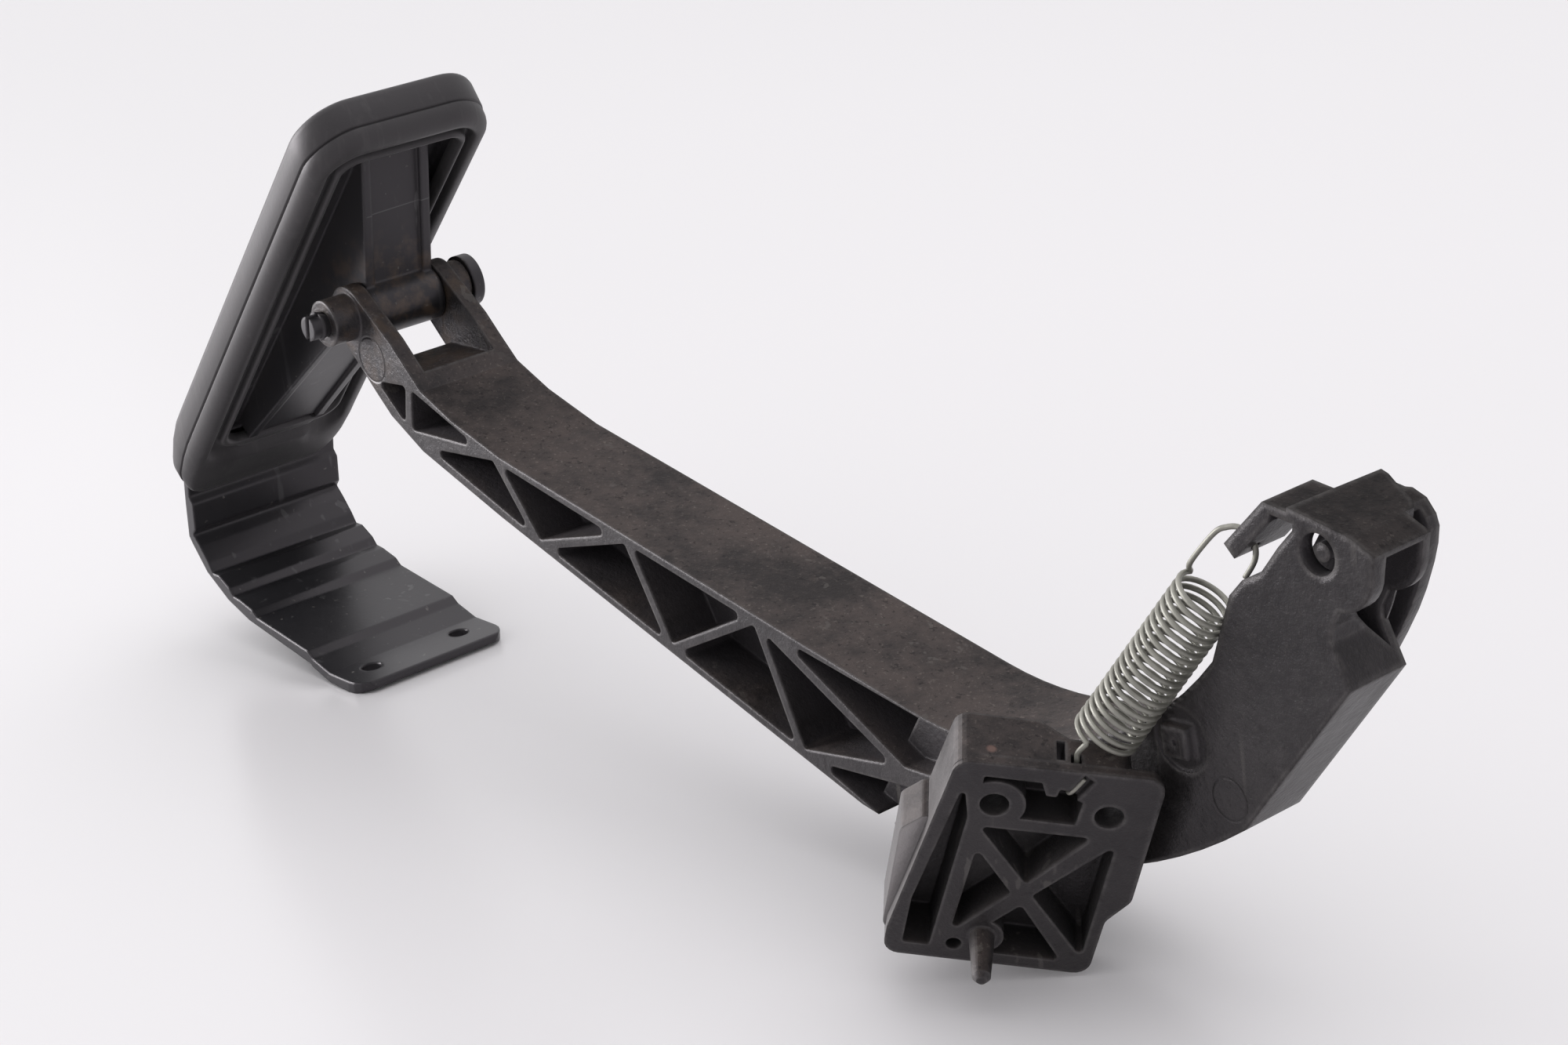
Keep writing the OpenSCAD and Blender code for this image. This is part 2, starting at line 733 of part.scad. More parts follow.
lie() bracket();
lie() lever();
lie() pivot_pin();
lie() return_spring();
lie() pedal_plate();
lie() pad_cover();
lie() fork_pin();
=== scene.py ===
import json
import math

import bpy
from mathutils import Matrix, Vector

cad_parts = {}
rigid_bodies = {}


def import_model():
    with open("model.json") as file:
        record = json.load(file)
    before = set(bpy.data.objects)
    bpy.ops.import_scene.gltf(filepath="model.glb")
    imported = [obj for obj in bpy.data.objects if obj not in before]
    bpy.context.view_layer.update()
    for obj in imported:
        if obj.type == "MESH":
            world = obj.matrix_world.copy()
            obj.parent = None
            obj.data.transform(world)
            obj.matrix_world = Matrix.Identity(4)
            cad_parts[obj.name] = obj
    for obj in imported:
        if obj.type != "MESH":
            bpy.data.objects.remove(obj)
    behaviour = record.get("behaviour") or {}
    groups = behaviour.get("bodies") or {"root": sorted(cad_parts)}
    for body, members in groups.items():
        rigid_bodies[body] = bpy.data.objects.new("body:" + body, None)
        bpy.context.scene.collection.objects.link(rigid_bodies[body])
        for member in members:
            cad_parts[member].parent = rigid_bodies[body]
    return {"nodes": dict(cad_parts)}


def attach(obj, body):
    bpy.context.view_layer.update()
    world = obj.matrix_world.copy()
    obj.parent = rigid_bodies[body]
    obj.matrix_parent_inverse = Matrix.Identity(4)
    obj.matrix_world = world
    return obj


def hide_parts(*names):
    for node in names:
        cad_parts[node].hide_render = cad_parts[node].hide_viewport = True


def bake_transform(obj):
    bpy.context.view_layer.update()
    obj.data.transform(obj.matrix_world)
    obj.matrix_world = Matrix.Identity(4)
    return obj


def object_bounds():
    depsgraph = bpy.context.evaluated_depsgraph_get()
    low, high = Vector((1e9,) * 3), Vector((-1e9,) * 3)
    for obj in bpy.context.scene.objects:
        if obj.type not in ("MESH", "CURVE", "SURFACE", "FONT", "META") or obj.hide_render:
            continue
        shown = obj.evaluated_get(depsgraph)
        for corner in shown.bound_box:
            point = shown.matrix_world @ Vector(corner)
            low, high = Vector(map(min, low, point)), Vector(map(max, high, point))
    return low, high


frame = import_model()
cad_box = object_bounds()
nodes = frame["nodes"]
scene = bpy.context.scene
scene.view_settings.view_transform = "Standard"


# Frames: the lever's level frame and the pad's own, in millimetres, brought to the row frame in metres

LIE = math.radians(12.1)
BOLT = Vector((237.4, -35.3, 10.6))
PAD_FOOT = (-65.3, -14.1)
PAD_LEAN = math.radians(55.5)
PAD_MID = -1.5
TABLE_GAP = 0.0001
TABLE_Z = cad_box[0][2] - TABLE_GAP


def row(p):
    """A point of the lever's frame in the row frame."""
    x, y, z = Vector(p) - BOLT
    return Vector((math.cos(LIE) * x + math.sin(LIE) * z, y, -math.sin(LIE) * x + math.cos(LIE) * z)) / 1000


def pad(s, y, d):
    """A point of the pad in the row frame: s up along its face, y across, d in from the face."""
    x = PAD_FOOT[0] + s * math.cos(PAD_LEAN) + d * math.sin(PAD_LEAN)
    z = PAD_FOOT[1] + s * math.sin(PAD_LEAN) - d * math.cos(PAD_LEAN)
    return row((x, PAD_MID + y, z))


def mesh_object(name, points, faces, material, slot):
    """A smooth-shaded mesh with one material. The slot argument is not used."""
    mesh = bpy.data.meshes.new(name)
    mesh.from_pydata([tuple(p) for p in points], [], faces)
    mesh.validate()
    for poly in mesh.polygons:
        poly.use_smooth = True
    obj = bpy.data.objects.new(name, mesh)
    scene.collection.objects.link(obj)
    mesh.materials.append(material)
    return obj


# Materials

class Nodes:
    """A small builder for one material's node tree. Values may be numbers or sockets."""

    BEVEL_SAMPLES = 6
    OPEN_SAMPLES = 5
    BLACK_SHEEN = (1.0, 0.92, 0.985, 1.0)

    def __init__(self, name):
        self.material = bpy.data.materials.new(name)
        self.material.use_nodes = True
        self.tree = self.material.node_tree
        self.shader = self.tree.nodes["Principled BSDF"]
        self.where = self.new("ShaderNodeTexCoord").outputs["Object"]

    def new(self, kind, **settings):
        n = self.tree.nodes.new(kind)
        for key, value in settings.items():
            setattr(n, key, value)
        return n

    def put(self, socket, value):
        if hasattr(value, "is_linked"):
            self.tree.links.new(value, socket)
        else:
            socket.default_value = value

    def colour(self, socket, value):
        self.put(socket, value if hasattr(value, "is_linked") else (*value, 1.0))

    def math(self, how, a, b=0.0):
        n = self.new("ShaderNodeMath", operation=how)
        self.put(n.inputs[0], a)
        self.put(n.inputs[1], b)
        return n.outputs[0]

    def plus(self, a, b):
        return self.math("ADD", a, b)

    def minus(self, a, b):
        return self.math("SUBTRACT", a, b)

    def times(self, *factors):
        product = factors[0]
        for factor in factors[1:]:
            product = self.math("MULTIPLY", product, factor)
        return product

    def greater(self, a, b):
        return self.math("MAXIMUM", a, b)

    def vector(self, how, source, with_vector):
        n = self.new("ShaderNodeVectorMath", operation=how)
        self.put(n.inputs[0], source)
        self.put(n.inputs[1], with_vector)
        return n.outputs["Value"]

    def ramp(self, value, low, high, to_low=0.0, to_high=1.0):
        n = self.new("ShaderNodeMapRange", clamp=True)
        for key, v in (("From Min", low), ("From Max", high), ("To Min", to_low), ("To Max", to_high)):
            n.inputs[key].default_value = v
        self.put(n.inputs["Value"], value)
        return n.outputs["Result"]

    def mix(self, factor, a, b):
        n = self.new("ShaderNodeMix", data_type="RGBA")
        self.put(n.inputs["Factor"], factor)
        self.colour(n.inputs["A"], a)
        self.colour(n.inputs["B"], b)
        return n.outputs["Result"]

    def noise(self, scale, detail, rough, stretch=None, turn=(0.0, 0.0, 0.0)):
        n = self.new("ShaderNodeTexNoise")
        n.inputs["Scale"].default_value = scale
        n.inputs["Detail"].default_value = detail
        n.inputs["Roughness"].default_value = rough
        source = self.where
        if stretch:
            m = self.new("ShaderNodeMapping")
            m.inputs["Scale"].default_value = stretch
            m.inputs["Rotation"].default_value = turn
            self.put(m.inputs["Vector"], source)
            source = m.outputs["Vector"]
        self.put(n.inputs["Vector"], source)
        return n.outputs["Fac"]

    def axis(self, letter):
        split = self.new("ShaderNodeSeparateXYZ")
        self.put(split.inputs[0], self.where)
        return split.outputs[letter]

    def facing(self, direction):
        """How far the surface faces a direction: 1 straight at it."""
        normal = self.new("ShaderNodeNewGeometry").outputs["True Normal"]
        return self.vector("DOT_PRODUCT", normal, direction)

    def along(self, direction):
        """How far the point lies along a direction, from the row frame's origin."""
        return self.vector("DOT_PRODUCT", self.where, direction)

    def distance(self, point):
        return self.vector("DISTANCE", self.where, point)

    def near(self, point, full, none):
        """1 within the distance full of a point, falling to 0 at none."""
        return self.ramp(self.distance(point), full, none, 1.0, 0.0)

    def ring(self, point, radius, width):
        """1 on a thin circle round a point."""
        off_circle = self.math("ABSOLUTE", self.minus(self.distance(point), radius))
        return self.ramp(off_circle, width, 0.0)

    def bevel(self, radius):
        b = self.new("ShaderNodeBevel", samples=self.BEVEL_SAMPLES)
        self.put(b.inputs["Radius"], radius)
        return b.outputs["Normal"]

    def open_to_light(self, reach, low, high):
        """1 on open surfaces, falling to 0 deep in pockets."""
        ao = self.new("ShaderNodeAmbientOcclusion", samples=self.OPEN_SAMPLES, only_local=True)
        ao.inputs["Distance"].default_value = reach
        return self.ramp(ao.outputs["AO"], low, high)

    def worn_edge(self, bevelled):
        """1 where the rounded normal leaves the flat one, so along edges."""
        flat = self.new("ShaderNodeNewGeometry").outputs["Normal"]
        return self.ramp(self.vector("DOT_PRODUCT", bevelled, flat), 0.999, 0.93)

    def scratches(self, scale, turn, amount):
        """Thin broken lines along one direction."""
        lines = self.noise(scale, 2.0, 0.5, (1.0, 1.0, 0.035), turn)
        broken = self.noise(scale * 0.12, 2.0, 0.5)
        return self.times(self.ramp(lines, 0.665, 0.70), self.ramp(broken, 0.5, 0.62), amount)

    def bump(self, height, strength, distance, normal=None):
        b = self.new("ShaderNodeBump")
        b.inputs["Strength"].default_value = strength
        b.inputs["Distance"].default_value = distance
        self.put(b.inputs["Height"], height)
        if normal is not None:
            self.put(b.inputs["Normal"], normal)
        return b.outputs["Normal"]

    def finish(self, colour, roughness, normal, metallic=0.0, specular=0.5):
        s = self.shader
        self.colour(s.inputs["Base Color"], colour)
        self.put(s.inputs["Roughness"], roughness)
        self.put(s.inputs["Normal"], normal)
        self.put(s.inputs["Specular IOR Level"], specular)
        s.inputs["Metallic"].default_value = metallic
        if metallic == 0.0:
            s.inputs["Specular Tint"].default_value = self.BLACK_SHEEN
        return self.material


# Directions, and places in metres, in the row frame. FACE_NORMAL stands on the bracket's face,
# and the dust thins out towards the head over the stretch HEAD_X.
UPWARD = (0.05, -0.1, 0.99)
LOWER_LEFT = (-0.80, -0.58, 0.1)
FACE_NORMAL = (0.668, -0.669, -0.327)
HUB_FRONT = (-0.020, -0.006, -0.012)
HEAD_X = (0.020, 0.045)
FORK = row((-12, 0, 13.5))
LINE_MID, LINE_Z, LINE_SLANT = row((-10.5, 0.7, 38.6)), 0.0784, 0.028
EAR_MARK, EAR_MARK_R = row((-2.3, -14, 5.6)), 0.0056
ARM_MARK, ARM_MARK_R = row((270.3, -8.5, 17.4)), 0.0042
RUST_DOT, RUST_DOT_R = row((235.1, -34.4, 21.6)), 0.0007

# Colours, as linear red, green and blue
DARK_PLASTIC, PALE_PLASTIC = (0.010, 0.0093, 0.0096), (0.027, 0.0248, 0.0250)
# painted light: colours deep in the pockets of the lever and the bracket, standing in for the light that
# reaches there
LEVER_POCKET_PAINTED_LIGHT, BRACKET_POCKET_PAINTED_LIGHT = (0.052, 0.048, 0.052), (0.026, 0.0245, 0.0255)
BROWN_DUST, PALE_SPECK, DARK_PIT = (0.066, 0.053, 0.049), (0.15, 0.13, 0.115), (0.008, 0.007, 0.007)
# painted light: the pale side colour lightens the sides that face the lower left
GREASY_DIRT, WORN_EDGE, PALE_PAINTED_SIDE_LIGHT = (0.075, 0.052, 0.036), (0.095, 0.089, 0.087), (0.35, 0.33, 0.33)
PLASTIC_SCRATCH, MARK_GROOVE, RUST = (0.14, 0.13, 0.12), (0.005, 0.005, 0.005), (0.16, 0.10, 0.085)
DARK_GLOSS, PALE_GLOSS = (0.010, 0.010, 0.0115), (0.020, 0.0195, 0.021)
# painted light: the gloss pocket colour stands in for the light that reaches deep inside
GLOSS_POCKET_PAINTED_LIGHT, GLOSS_SCRATCH = (0.040, 0.038, 0.041), (0.15, 0.15, 0.15)
PANEL_SCRATCH, GLOSS_DOT = (0.12, 0.12, 0.12), (0.16, 0.15, 0.14)
DARK_RUBBER, PALE_RUBBER = (0.021, 0.0205, 0.021), (0.034, 0.0325, 0.033)
# painted shade: the groove colour darkens the rubber deep in its grooves
WORN_RUBBER, RUBBER_GROOVE_PAINTED_SHADE = (0.060, 0.057, 0.056), (0.010, 0.010, 0.0105)
DARK_ZINC, PALE_ZINC = (0.20, 0.195, 0.172), (0.36, 0.352, 0.315)
DARK_STEEL, PALE_STEEL = (0.22, 0.22, 0.22), (0.36, 0.36, 0.35)


def dusty_plastic(name, pocket_painted_light, side_painted_light):
    """Moulded plastic. The pocket colour is painted light: a colour deep inside that stands in for the
    light reaching the pockets. The side amount is how much pale painted light goes on the sides towards the
    lower left.
    """
    n = Nodes(name)
    exposed = n.open_to_light(0.014, 0.30, 0.80)
    up = n.times(n.ramp(n.facing(UPWARD), 0.35, 0.95), exposed)
    head = n.ramp(n.axis("X"), *HEAD_X)
    cloud, fine, specks = n.noise(26, 6.0, 0.62), n.noise(230, 6.0, 0.7), n.noise(1100, 3.0, 0.65)
    patchy = n.plus(n.times(cloud, 0.65), n.times(fine, 0.35))

    # painted light deep in the pockets; brown dust on top, less of it on the head, with pale specks and
    # dark pits
    look = n.mix(exposed, pocket_painted_light, n.mix(n.ramp(patchy, 0.38, 0.62), DARK_PLASTIC, PALE_PLASTIC))
    less_on_head = n.ramp(n.axis("X"), *HEAD_X, 1.0, 0.42)
    dust = n.times(up, n.ramp(patchy, 0.42, 0.58, 0.2, 1.0), less_on_head)
    look = n.mix(dust, look, BROWN_DUST)
    look = n.mix(n.times(n.plus(dust, 0.10), n.ramp(specks, 0.60, 0.68), 0.6), look, PALE_SPECK)
    look = n.mix(n.times(exposed, n.ramp(n.noise(700, 3.0, 0.6), 0.40, 0.33), 0.6), look, DARK_PIT)

    # greasy dirt round the fork, scratches, worn edges
    dirt = n.times(n.near(FORK, 0.016, 0.030), n.ramp(n.noise(160, 5.0, 0.6), 0.47, 0.62))
    look = n.mix(n.times(dirt, 0.55), look, GREASY_DIRT)
    scratches = n.plus(n.scratches(260, (0.3, 0.5, 0.8), 0.3), n.scratches(330, (1.2, 0.1, 2.2), 0.3))
    look = n.mix(scratches, look, PLASTIC_SCRATCH)
    rounded = n.bevel(n.ramp(n.axis("X"), 0.0, 0.03, 0.0010, 0.0021))
    edge = n.times(n.worn_edge(rounded), n.ramp(fine, 0.4, 0.6, 0.25, 0.9), exposed)
    look = n.mix(edge, look, WORN_EDGE)

    # painted light: a pale colour on the sides that face the lower left, where the light falls, and on the
    # hub's set-back front
    left = n.times(n.ramp(n.facing(LOWER_LEFT), 0.15, 0.55), n.ramp(patchy, 0.36, 0.58, 0.6, 1.0), exposed)
    hub = n.times(n.ramp(n.along(FACE_NORMAL), -0.0022, -0.0030), n.near(HUB_FRONT, 0.018, 0.026), exposed,
                  n.ramp(patchy, 0.36, 0.58, 0.75, 1.0), n.ramp(n.facing(FACE_NORMAL), 0.6, 0.9))
    look = n.mix(n.times(n.greater(n.times(left, 0.28), hub), side_painted_light), look, PALE_PAINTED_SIDE_LIGHT)

    # ejector marks and a rust dot
    ear_mark, arm_mark = n.ring(EAR_MARK, EAR_MARK_R, 0.00045), n.ring(ARM_MARK, ARM_MARK_R, 0.0004)
    marks = n.greater(ear_mark, n.times(arm_mark, 0.6))
    look = n.mix(n.times(marks, 0.6), look, MARK_GROOVE)
    look = n.mix(n.times(n.near(RUST_DOT, RUST_DOT_R, 0.0012), 0.8), look, RUST)

    # grain; tops are duller, and the head a little more so
    grain = n.plus(n.times(specks, 0.5), n.plus(n.noise(150, 5.0, 0.62), n.times(fine, 0.7)))
    normal = n.bump(n.plus(grain, n.times(marks, -0.8)), 0.45, 0.0006, rounded)
    rough = n.plus(n.ramp(patchy, 0.38, 0.62, 0.33, 0.45), n.times(up, 0.26))
    shine = n.minus(n.ramp(n.facing(UPWARD), 0.35, 0.95, 0.42, 0.15), n.times(head, 0.09))
    return n.finish(look, rough, normal, specular=shine)


def gloss_plastic(name):
    """Smoother plastic of the pedal plate and the fork pin, glossiest low on the strap."""
    n = Nodes(name)
    exposed = n.open_to_light(0.012, 0.3, 0.8)
    cloud = n.noise(22, 5.0, 0.6)
    # painted light: a lighter colour deep in the pockets, over a cloudy tone elsewhere
    look = n.mix(exposed, GLOSS_POCKET_PAINTED_LIGHT, n.mix(n.ramp(cloud, 0.3, 0.7), DARK_GLOSS, PALE_GLOSS))
    scratches = n.plus(n.scratches(300, (0.2, 1.3, 0.3), 0.3), n.scratches(210, (1.0, 0.4, 1.4), 0.25))
    look = n.mix(scratches, look, GLOSS_SCRATCH)
    dirt = n.times(n.near(FORK, 0.010, 0.022), n.ramp(n.noise(190, 5.0, 0.6), 0.46, 0.62))
    look = n.mix(n.times(dirt, 0.7), look, GREASY_DIRT)

    # one fine slanting scratch across the plate's panel, and small pale dots
    off_line = n.math("ABSOLUTE", n.minus(n.axis("Z"), n.plus(LINE_Z, n.times(n.axis("Y"), LINE_SLANT))))
    on_line = n.times(n.ramp(off_line, 0.00022, 0.0), n.near(LINE_MID, 0.0088, 0.0096))
    look = n.mix(n.times(on_line, 0.6), look, PANEL_SCRATCH)
    look = n.mix(n.times(exposed, n.ramp(n.noise(620, 2.0, 0.5), 0.70, 0.76), 0.5), look, GLOSS_DOT)

    strap = n.ramp(n.axis("Z"), 0.0, 0.012, 1.0, 0.0)
    rough = n.plus(n.ramp(cloud, 0.3, 0.7, 0.38, 0.47), n.times(strap, -0.12))
    grain = n.plus(n.times(n.noise(900, 3.0, 0.6), 0.35), n.noise(70, 3.0, 0.5))
    return n.finish(look, rough, n.bump(grain, 0.12, 0.0004, n.bevel(0.0010)))


def rubber(name):
    n = Nodes(name)
    cloud = n.noise(30, 6.0, 0.6)
    streaks = n.noise(420, 3.0, 0.55, (1.0, 1.0, 0.09), (0.0, 0.76, 0.0))
    look = n.mix(n.ramp(cloud, 0.3, 0.72), DARK_RUBBER, PALE_RUBBER)
    look = n.mix(n.ramp(streaks, 0.56, 0.74, 0.0, 0.35), look, WORN_RUBBER)
    # painted shade: darker deep in the grooves and hollows
    look = n.mix(n.open_to_light(0.0045, 0.35, 0.85), RUBBER_GROOVE_PAINTED_SHADE, look)
    grain = n.plus(n.times(n.noise(1300, 2.0, 0.6), 0.5), n.times(streaks, 0.5))
    n.shader.inputs["Sheen Weight"].default_value = 0.06
    return n.finish(look, n.ramp(cloud, 0.3, 0.7, 0.46, 0.56), n.bump(grain, 0.18, 0.0003))


def galvanised(name):
    n = Nodes(name)
    cloud = n.noise(160, 5.0, 0.6)
    look = n.mix(n.ramp(cloud, 0.3, 0.7), DARK_ZINC, PALE_ZINC)
    normal = n.bump(n.noise(1200, 3.0, 0.6), 0.15, 0.0002)
    return n.finish(look, n.ramp(cloud, 0.3, 0.7, 0.42, 0.58), normal, metallic=0.55, specular=0.4)


def pin_steel(name):
    n = Nodes(name)
    turned = n.noise(900, 3.0, 0.6, (1.0, 0.02, 1.0))
    look = n.mix(turned, DARK_STEEL, PALE_STEEL)
    return n.finish(look, n.ramp(turned, 0.3, 0.7, 0.28, 0.42), n.bump(turned, 0.1, 0.0002), metallic=1.0)


# the lever gets no pale painted light on its sides; the bracket gets nearly all of it
PLASTIC = dusty_plastic("dusty_plastic", LEVER_POCKET_PAINTED_LIGHT, 0.0)
BRACKET = dusty_plastic("bracket_plastic", BRACKET_POCKET_PAINTED_LIGHT, 0.95)
GLOSS = gloss_plastic("gloss_plastic")
RUBBER = rubber("rubber")
SPRING = galvanised("galvanised_wire")
PIN = pin_steel("pin_steel")

for name, material in (("lever", PLASTIC), ("bracket", BRACKET), ("pedal_plate", GLOSS),
                       ("fork_pin", GLOSS), ("pivot_pin", PIN)):
    mesh = nodes[name].data
    mesh.materials.clear()
    mesh.materials.append(material)


# Rubber cover: rings of a profile swept round a rounded outline

PAD_LOW, PAD_TOP, PAD_HALF, PAD_DEPTH = -46.0, 104.5, 25.5, 12.4
PAD_CORNER, LOW_CORNER = 13.0, 6.5
MOUTH_CORNER, LOW_MOUTH_CORNER, INNER_CORNER = 5.5, 5.6, 1.2
LOW_MOUTH_FROM, INNER_FROM = 5, 9.8
CORNER_POINTS, SIDE_PARTS = 13, 24

# Bends: how much, from which place along the pad or in its depth, and over what length
CURVE, CURVE_FROM, CURVE_OVER = 9.0, -26, 20
CROWN, CROWN_FROM, CROWN_OVER = 3.0, 84, 18
WRAP, NARROW = 6.0, 0.1
END_FROM, END_OVER, BACK_FROM, BACK_OVER = -34, 12, 6.5, 5.9

# Where the lip is flush: its depth, and the stretch along the pad and across it
FLUSH_DEPTH, FLUSH_DEEPER = 12.3, 10.6
FLUSH_LOWEST, FLUSH_FROM, FLUSH_OVER = -44, -25.5, 2.5
FLUSH_MID, FLUSH_HALF, FLUSH_SIDE_OVER = -0.5, 13.4, 3

# Points (inward, depth, low_more) from the middle of the face round the outside and back inside
PROFILE = [
    # face and its rounded edge
    (24.6, 0.0, 0), (20, 0.0, 0), (13, 0.0, 0), (7, 0.0, 0), (3.6, 0.0, 0), (2.3, 0.05, 0),
    (1.4, 0.2, 0), (0.7, 0.6, 0), (0.25, 1.2, 0), (0.0, 2.1, 0),
    # side, and the seam in it
    (0.0, 4.2, 0), (0.0, 7.3, 0), (0.1, 7.5, 0), (0.7, 7.58, 0), (0.75, 7.85, 0), (0.30, 8.0, 0),
    # rounded lip
    (0.25, 8.4, 0), (0.3, 9.5, 0), (0.6, 10.5, 0), (1.2, 11.4, 0), (2.1, 12.05, 0.2),
    (3.2, 12.35, 1.2), (4.2, 12.35, 2.6), (4.9, 11.9, 4.2),
    # groove and bead round the opening
    (5.3, 11.0, 5.2), (5.7, 10.2, 6.0), (6.2, 9.9, 7.0), (6.8, 10.0, 8.0), (7.1, 10.9, 8.8),
    (7.3, 11.8, 9.2), (7.7, 12.35, 9.5), (8.1, 12.4, 9.6), (8.6, 12.1, 9.5), (9.0, 11.4, 9.2),
    (9.2, 10.4, 9.1), (9.4, 9.5, 9.1),
    # inside, over the plate's rim and across the back of the face
    (3.2, 9.0, 1.0), (3.2, 4.0, 0), (4.5, 3.1, 0), (13, 3.1, 0), (24.0, 3.1, 0)]


def ease(t):
    t = min(max(t, 0.0), 1.0)
    return t * t * (3 - 2 * t)


def pad_ring(inward, depth, low_more):
    """Points of the outline moved inward; low_more moves its lower end further up."""
    top_r = max(PAD_CORNER - inward, MOUTH_CORNER if inward < INNER_FROM else INNER_CORNER)
    low_r = LOW_CORNER if inward < LOW_MOUTH_FROM else LOW_MOUTH_CORNER
    s0, s1, h = PAD_LOW + inward + low_more, PAD_TOP - inward, PAD_HALF - inward
    corners = ((s1 - top_r, h - top_r, top_r, 0), (s0 + low_r, h - low_r, low_r, 90),
               (s0 + low_r, low_r - h, low_r, 180), (s1 - top_r, top_r - h, top_r, 270))
    points = []
    for cs, cy, r, start in corners:
        for i in range(CORNER_POINTS):
            a = math.radians(start + 90 * i / (CORNER_POINTS - 1))
            points.append((cs + r * math.cos(a), cy + r * math.sin(a), depth))
    return points


def long_ring(ring):
    """Splits the ring's straight sides, so the surface can curve along the pad."""
    out = []
    for i, p in enumerate(ring):
        out.append(p)
        if (i + 1) % CORNER_POINTS == 0:
            q = ring[(i + 1) % len(ring)]
            for k in range(1, SIDE_PARTS):
                out.append(tuple(a + (b - a) * (k / SIDE_PARTS) for a, b in zip(p, q)))
    return out


def drawn_in(s, d):
    """How far a point is drawn in: 1 at the back edge of the lower end."""
    return ease((END_FROM - s) / END_OVER) * ease((d - BACK_FROM) / BACK_OVER)


def pad_point(s, y, d):
    """Bends the swept form as the photo shows: curved lower end, crowned top, end drawn in."""
    face_share = 1 - min(d / PAD_DEPTH, 1.0)
    low = max(0.0, (CURVE_FROM - s) / CURVE_OVER)
    curve = CURVE * low * low * face_share
    crown = CROWN * (1 - face_share) * ease((s - CROWN_FROM) / CROWN_OVER)
    wrap = WRAP * drawn_in(s, d)
    # the lip has no bead across the lower end; narrowing goes by the depth after this
    if d > FLUSH_DEEPER and s > FLUSH_LOWEST:
        flush_across = ease((FLUSH_HALF - abs(y - FLUSH_MID)) / FLUSH_SIDE_OVER)
        d += (FLUSH_DEPTH - d) * ease((FLUSH_FROM - s) / FLUSH_OVER) * flush_across
    return pad(s - crown - wrap, y * (1 - NARROW * drawn_in(s, d)), d + curve)


def rings_to_mesh(rings):
    """A closed skin over the rings, capped at both ends."""
    n = len(rings[0])
    last = (len(rings) - 1) * n
    points = [pad_point(*p) for ring in rings for p in ring]
    faces = []
    for k in range(len(rings) - 1):
        for i in range(n):
            j = (i + 1) % n
            faces.append((k * n + i, k * n + j, (k + 1) * n + j, (k + 1) * n + i))
    faces.append(tuple(range(n - 1, -1, -1)))
    faces.append(tuple(last + i for i in range(n)))
    return points, faces


rings = [long_ring(pad_ring(*p)) for p in PROFILE]
cover = mesh_object("rubber_cover", *rings_to_mesh(rings), RUBBER, "rubber")
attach(cover, "pad_group")
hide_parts("pad_cover")


# Return spring: a smooth wire along its whole path, in the lever's frame

WIRE_D, WIRE_SIDES, SMOOTH_PARTS = 1.1, 10, 6
COIL_D, COIL_TURNS, COIL_STEPS, COIL_START = 12.7, 20 + 4 / 14, 30, 28
COIL_LOW, COIL_HIGH = Vector((245.5, -15.9, 21.7)), Vector((258.8, -6.0, 54.2))
EYE = Vector((265.9, -4.5, 68.3))
FACE_TURN, FACE_ROLL, FACE_LEAN = math.radians(48.3), math.radians(6.3), math.radians(100.4)

# The lower end, in the bracket face's frame, and the upper one, from the eye
LOW_END = ((15.3, 8.3, -0.85), (14.5, 6.7, -0.8), (13.7, 5.1, -0.85), (13.2, 3.8, -1.6),
           (13.3, 3.9, -3.0), (13.6, 5.4, -4.1), (13.8, 8.9, -4.0), (13.7, 11, -4.6))
HIGH_END = ((-11, -2.2, -9), (-6.8, -1.5, -1.7), (-4.6, -0.7, 0.2), (-2.4, 0, 0.8),
            (0, 0, 0), (1.6, 0, -1.4), (1.8, -0.1, -4.1), (0.4, -0.5, -7.8))


def face_point(u, v, n):
    """A point of the bracket face's frame in the lever's frame."""
    t, r, l = FACE_TURN, FACE_ROLL, FACE_LEAN
    ux = Vector((math.cos(t) * math.cos(r), math.sin(t) * math.cos(r), -math.sin(r)))
    nx = Vector((math.cos(t) * math.sin(r) * math.cos(l) + math.sin(t) * math.sin(l),
                 math.sin(t) * math.sin(r) * math.cos(l) - math.cos(t) * math.sin(l),
                 math.cos(r) * math.cos(l)))
    return BOLT + u * ux + v * nx.cross(ux) + n * nx


def smooth_path(points):
    """A smooth curve through the points."""
    out = []
    last = len(points) - 1
    for i in range(last):
        p0, p1, p2, p3 = points[max(i - 1, 0)], points[i], points[i + 1], points[min(i + 2, last)]
        for k in range(SMOOTH_PARTS):
            t = k / SMOOTH_PARTS
            out.append(0.5 * (2 * p1 + (p2 - p0) * t + (2 * p0 - 5 * p1 + 4 * p2 - p3) * t * t
                              + (3 * p1 - p0 - 3 * p2 + p3) * t ** 3))
    out.append(points[-1])
    return out


def coil_path(axis):
    """The coil's middle line, turning round its axis from the lower end up."""
    across = axis.cross(Vector((0, 0, 1))).normalized()
    upward = across.cross(axis)
    length = (COIL_HIGH - COIL_LOW).length
    radius = (COIL_D - WIRE_D) / 2
    points = []
    for i in range(round(COIL_TURNS * COIL_STEPS) + 1):
        a = math.radians(COIL_START + 360 * i / COIL_STEPS)
        share = min(i / (COIL_TURNS * COIL_STEPS), 1.0)
        round_axis = radius * (across * math.cos(a) + upward * math.sin(a))
        points.append(COIL_LOW + axis * length * share + round_axis)
    return points


